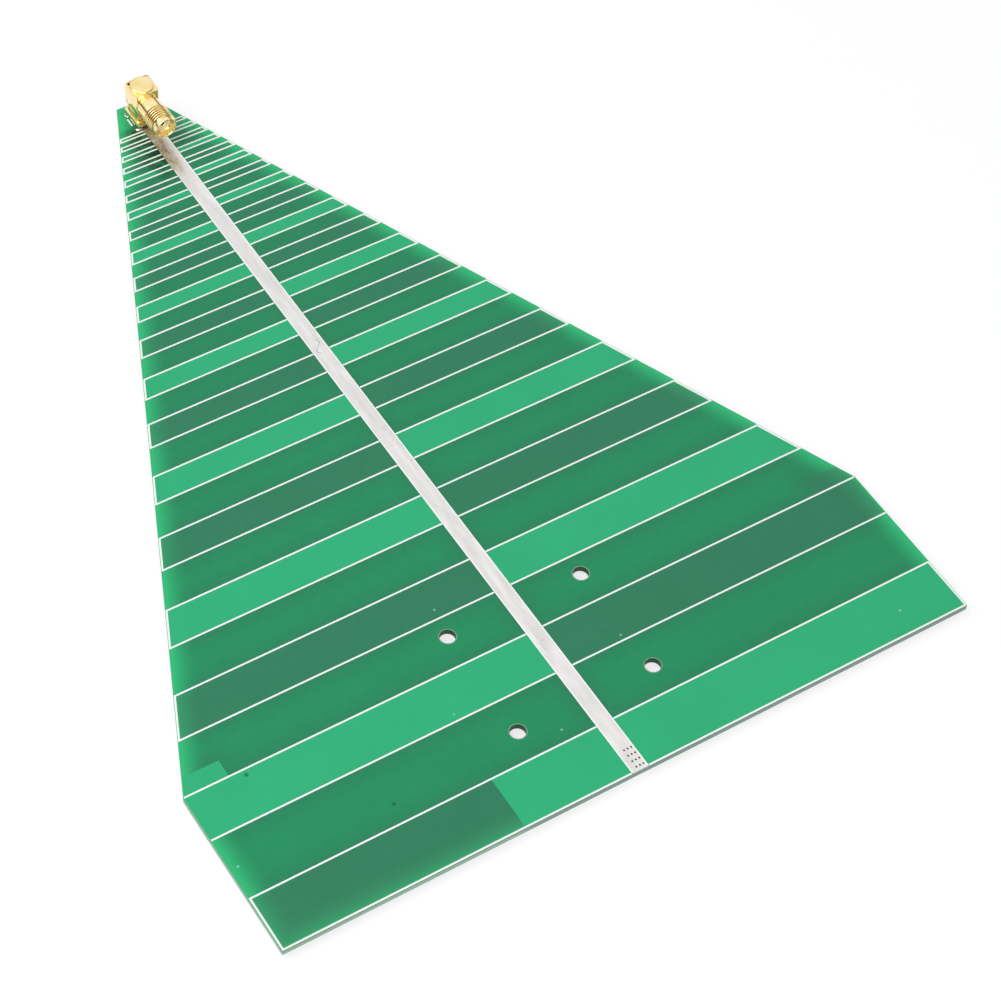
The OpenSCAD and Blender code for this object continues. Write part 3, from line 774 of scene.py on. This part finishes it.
# each end is closed inwards, to a ring inside the core
for z in (0.0, THREAD_LEN * MM):
    ring = [e for e in shape.edges
            if e.is_boundary and all(abs(v.co.z - z) < 1e-7 for v in e.verts)]
    made = bmesh.ops.extrude_edge_only(shape, edges=ring)["geom"]
    for v in made:
        if isinstance(v, bmesh.types.BMVert):
            v.co.xy = v.co.xy.normalized() * SLEEVE_R * MM
rings = [e for e in shape.edges if e.is_boundary]
bmesh.ops.bridge_loops(shape, edges=rings)
bmesh.ops.recalc_face_normals(shape, faces=shape.faces)
shape.to_mesh(thread)
shape.free()
thread.transform(Matrix.Translation((0, 0, LIP_LEN * MM)))
thread.transform(to_barrel)
neck_start = LIP_LEN + THREAD_LEN
neck_stop = neck_start + NECK_LEN
core = turned("barrel_core", rounded([
    (MOUTH_R, LIP_BREAK), (MOUTH_R + LIP_BREAK, 0.0, 0.5),
    (LIP_R, 0.0, 1.0), (LIP_R, LIP_LEN, 0.8),
    (CORE_R, LIP_LEN), (CORE_R, neck_start), (NECK_R, neck_start, 0.6),
    (NECK_R, neck_stop), (SPIGOT_R, neck_stop), (SPIGOT_R, BARREL_LEN),
    (BORE_R, BARREL_LEN), (BORE_R, MOUTH_DEPTH), (MOUTH_R, MOUTH_DEPTH)], ROUNDING), to_barrel)
barrel = joined("threaded_barrel", [core, thread])
smooth_by_angle(barrel, 24)
new_piece("threaded_barrel", barrel, "gold_plated_brass", "jack_barrel")


# ----------------------------------------------------------------- block and cap

CAP_R = (CAP_HIGH.x - CAP_LOW.x) / 2 / MM
CAP_T = (CAP_HIGH.z - BLOCK_HIGH.z) / MM
PLUG_DEEP = (BLOCK_HIGH.z - CAP_LOW.z) / MM
PLUG_R = 2.35
CAP_ROUNDING = 0.3
on_top = Matrix.Translation((JACK_X, JACK_Y, BLOCK_HIGH.z))
# pressed cap: flat, with a soft rounded rim
cap = turned("pressed_cap", rounded([
    (0.0, -PLUG_DEEP), (PLUG_R, -PLUG_DEEP), (PLUG_R, 0.0), (CAP_R - 0.12, 0.0),
    (CAP_R, 0.1, 0.2), (CAP_R, CAP_T, 1.0), (0.0, CAP_T)], CAP_ROUNDING, 5), on_top)
smooth_by_angle(cap, 40)
new_piece("pressed_cap", cap, "gold_plated_brass", "jack_cap")


PUNCH_OUT = 2.12 * MM  # from the cap's axis, both to the left and to the back
PUNCH = Vector((JACK_X - PUNCH_OUT, JACK_Y + PUNCH_OUT, BLOCK_HIGH.z))
PUNCH_R = 0.6
PUNCH_DEEP = 0.9
EDGE_BREAK = 0.09


def milled_block():
    """The block with its edges broken by tumbling, and one punch mark that locks
    the cap, in the corner behind it on the left, with painted shade in it."""
    shape = bmesh.new()
    shape.from_mesh(NODES["jack_block"].data)
    bmesh.ops.remove_doubles(shape, verts=shape.verts, dist=1e-6)
    bmesh.ops.dissolve_limit(
        shape, angle_limit=math.radians(1.5), verts=shape.verts, edges=shape.edges)
    mesh = bpy.data.meshes.new("milled_block")
    shape.to_mesh(mesh)
    shape.free()
    holder = bpy.data.objects.new("milled_block", mesh)
    bpy.context.scene.collection.objects.link(holder)
    punch = turned("punch", [
        (0.0, -PUNCH_DEEP), (PUNCH_R - 0.12, 0.2 - PUNCH_DEEP), (PUNCH_R, 0.3), (0.0, 0.3)],
        Matrix.Translation(PUNCH), 24)
    tool = bpy.data.objects.new("punch", punch)
    bpy.context.scene.collection.objects.link(tool)
    cut = holder.modifiers.new("punch", "BOOLEAN")
    cut.operation, cut.object, cut.solver = "DIFFERENCE", tool, "EXACT"
    soft = holder.modifiers.new("edges", "BEVEL")
    soft.width, soft.segments, soft.limit_method = EDGE_BREAK * MM, 2, "ANGLE"
    soft.angle_limit = math.radians(32)
    mesh = baked(holder)
    bpy.data.objects.remove(tool)
    # painted shade inside the punch mark, stored as the root attribute that the finish darkens
    inside = [float((v.co - PUNCH).xy.length < PUNCH_R * 1.05 * MM
                    and -1.0 * MM < v.co.z - PUNCH.z < -0.03 * MM) for v in mesh.vertices]
    mesh.attributes.new("root", "FLOAT", "POINT").data.foreach_set("value", inside)
    return mesh


block = milled_block()
smooth_by_angle(block, 30)
new_piece("milled_block", block, "gold_plated_brass", "jack_block")


# ----------------------------------------------------------------------- solder

def solder_tree(template):
    """The same joint at each corner of a square of legs, each turned at random."""
    tree = bpy.data.node_groups.new("leg_joints", "GeometryNodeTree")
    socket = tree.interface.new_socket("Leg pitch", in_out="INPUT", socket_type="NodeSocketFloat")
    socket.default_value = 0.005
    tree.interface.new_socket("Finish", in_out="INPUT", socket_type="NodeSocketMaterial")
    tree.interface.new_socket("Geometry", in_out="OUTPUT", socket_type="NodeSocketGeometry")
    given = add(tree, "NodeGroupInput", out=None)
    corners = add(tree, "GeometryNodeMeshGrid", {
        "Size X": given["Leg pitch"], "Size Y": given["Leg pitch"],
        "Vertices X": 2, "Vertices Y": 2})
    joint = add(tree, "GeometryNodeObjectInfo", {"Object": template, "As Instance": True},
                out="Geometry")
    turn = add(tree, "FunctionNodeRandomValue", {"Seed": 7, 0: (0, 0, 0), 1: (0, 0, 2 * math.pi)},
               data_type="FLOAT_VECTOR")
    spread = add(tree, "GeometryNodeInstanceOnPoints", {
        "Points": corners, "Instance": joint, "Rotation": turn})
    whole = add(tree, "GeometryNodeRealizeInstances", {"Geometry": spread})
    painted = add(tree, "GeometryNodeSetMaterial", {"Geometry": whole, "Material": given["Finish"]})
    add(tree, "NodeGroupOutput", [painted])
    return tree


LEG_PITCH = 5.08
LEG_R = 0.45
FOOT_R = 0.75
FILM = 0.04  # solder left on the leg above the hollow
RIM = 0.02  # and the least thickness at the pad's rim
RING_HIGH, RING_WIDE = 0.3, 0.25  # the ring of solder round a leg on the front
JOINT_LOW, JOINT_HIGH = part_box("leg_solder_joints")
tip = JOINT_LOW.z / MM
pad = BACK_LOW.z / MM
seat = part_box("front_tin_coating")[1].z / MM
PAD_R = (JOINT_HIGH.x - JOINT_LOW.x) / MM / 2 - LEG_PITCH / 2
hollow = []
for t in (k / 6 for k in range(7)):
    hollow.append((LEG_R + FILM + (PAD_R - LEG_R - FILM) * (1 - t) ** 2.2,
                   pad - RIM - (pad - RIM - tip) * t))
below = turned("joint_below", [(LEG_R, pad), (PAD_R, pad), *hollow, (LEG_R, tip)],
               Matrix.Identity(4), 32)
ring = [(FOOT_R + RING_WIDE * (1 - t) ** 1.8, seat + RING_HIGH * t)
        for t in (k / 5 for k in range(6))]
above = turned("joint_above", [(FOOT_R, seat), *ring], Matrix.Identity(4), 32)
joint_mesh = joined("leg_joint", [below, above])
joint_model = bpy.data.objects.new("leg_joint", joint_mesh)
bpy.context.scene.collection.objects.link(joint_model)
joints = grow("leg_joints", solder_tree(joint_model), **{
    "Leg pitch": LEG_PITCH * MM, "Finish": FINISHES["solder"]})
bpy.data.objects.remove(joint_model)
joints.transform(Matrix.Translation((JACK_X, JACK_Y, 0)))
smooth_by_angle(joints, 40)
new_piece("leg_joints", joints, "solder", "leg_solder_joints")


# ---------------------------------------------------------------- studio and view

FLOOR_HALF = 6.0  # metres
FLOOR_WHITE = 0.75  # the share of the seen floor that no shadow takes away
ROOM_LIGHT = 0.40  # the world's strength where it lights the object
LAMPS = (  # name, place in metres, watts, width in metres
    ("key", (-0.55, 0.2, 0.9), 6.2, 0.8),
    ("fill", (-0.5, -1.0, 0.7), 5.5, 0.8))


def seen_rays(tree, *others):
    """1 for a camera ray and for the other kinds of ray named, and the light path itself."""
    path = add(tree, "ShaderNodeLightPath", out=None)
    seen = path["Is Camera Ray"]
    for ray in others:
        seen = add(tree, MATH, [seen, path[ray]], operation="MAXIMUM")
    return seen, path


def studio():
    """A plain pale floor and soft light; a white field round it all."""
    floor_mesh = bpy.data.meshes.new("floor")
    half = FLOOR_HALF
    floor_mesh.from_pydata([(-half, -half, 0), (half, -half, 0), (half, half, 0), (-half, half, 0)],
                           [], [(0, 1, 2, 3)])
    material = bpy.data.materials.new("pale_floor")
    material.use_nodes = True
    tree = material.node_tree
    tree.nodes.clear()
    seen, _ = seen_rays(tree, "Is Glossy Ray")
    tone = add(tree, MIX, {0: seen, 6: linear("#d8d8d6"), 7: linear("#949494")},
               out=2, data_type="RGBA")
    # the floor's own share of white grows from half a metre out, so no horizon shows
    away = add(tree, VECTOR, [add(tree, "ShaderNodeTexCoord", out="Object")], out="Value",
               operation="LENGTH")
    white = add(tree, RANGE, [away, 0.5, 2.0, FLOOR_WHITE, 1.0])
    lift = add(tree, "ShaderNodeEmission", {
        "Color": (1, 1, 1, 1), "Strength": add(tree, MATH, [seen, white], operation="MULTIPLY")})
    both = add(tree, "ShaderNodeAddShader", [
        add(tree, "ShaderNodeBsdfDiffuse", {"Color": tone}), lift])
    add(tree, OUTPUT, {"Surface": both})
    floor_mesh.materials.append(material)
    floor = bpy.data.objects.new("floor", floor_mesh)
    bpy.context.scene.collection.objects.link(floor)

    world = bpy.data.worlds.new("studio")
    bpy.context.scene.world = world
    world.use_nodes = True
    tree = world.node_tree
    tree.nodes.clear()
    seen, path = seen_rays(tree, "Is Glossy Ray", "Is Transmission Ray")
    # metal also sees the room's dark lower wall, a band just over the horizon
    height = add(tree, SPLIT, [add(tree, "ShaderNodeTexCoord", out="Generated")], out=None)["Z"]
    band = path["Is Glossy Ray"]
    for limit in ((-0.02, 0.06, 0.0, 1.0), (0.22, 0.42, 1.0, 0.0)):
        band = add(tree, MATH, [band, add(tree, RANGE, [height, *limit])], operation="MULTIPLY")
    mirrored = add(tree, MATH, [band, -0.85, 1.0], operation="MULTIPLY_ADD")
    level = add(tree, MATH, [add(tree, RANGE, [seen, 0.0, 1.0, ROOM_LIGHT, 1.0]), mirrored],
                operation="MULTIPLY")
    field = add(tree, "ShaderNodeBackground", {"Color": (1, 1, 1, 1), "Strength": level})
    add(tree, "ShaderNodeOutputWorld", {"Surface": field})

    for name, spot, power, size in LAMPS:
        lamp = bpy.data.lights.new(name, "AREA")
        lamp.energy = power
        lamp.size = size
        holder = bpy.data.objects.new(name, lamp)
        holder.location = spot
        holder.rotation_euler = Vector(spot).to_track_quat("Z", "Y").to_euler()
        bpy.context.scene.collection.objects.link(holder)


CAMERA_PLACE = (-0.22143, -0.35564, 0.50073)
CAMERA_TURN = (33.12, 51.69, 2.73)  # degrees: to the right of +Y, down, and about the view
CAMERA_LENS = 105.98
CAMERA_SHIFT = 0.10


def view():
    """The camera, about 650 mm away: it looks down on the board from the wide end,
    from the left, and is turned slightly about its line of sight."""
    azimuth, down, roll = (math.radians(angle) for angle in CAMERA_TURN)
    ahead = Vector((math.sin(azimuth) * math.cos(down), math.cos(azimuth) * math.cos(down),
                    -math.sin(down)))
    side = Vector((math.cos(azimuth), -math.sin(azimuth), 0))
    up = side.cross(ahead)
    right = side * math.cos(roll) + up * math.sin(roll)
    up = right.cross(ahead)
    turn = Matrix((right, up, -ahead)).transposed()
    camera = bpy.data.cameras.new("camera")
    camera.sensor_width = 36.0
    camera.lens = CAMERA_LENS
    camera.shift_x = CAMERA_SHIFT
    camera.clip_start, camera.clip_end = 0.02, 50.0
    holder = bpy.data.objects.new("camera", camera)
    holder.matrix_world = Matrix.Translation(CAMERA_PLACE) @ turn.to_4x4()
    bpy.context.scene.collection.objects.link(holder)
    bpy.context.scene.camera = holder


studio()
view()
bpy.context.scene.view_settings.view_transform = "Standard"
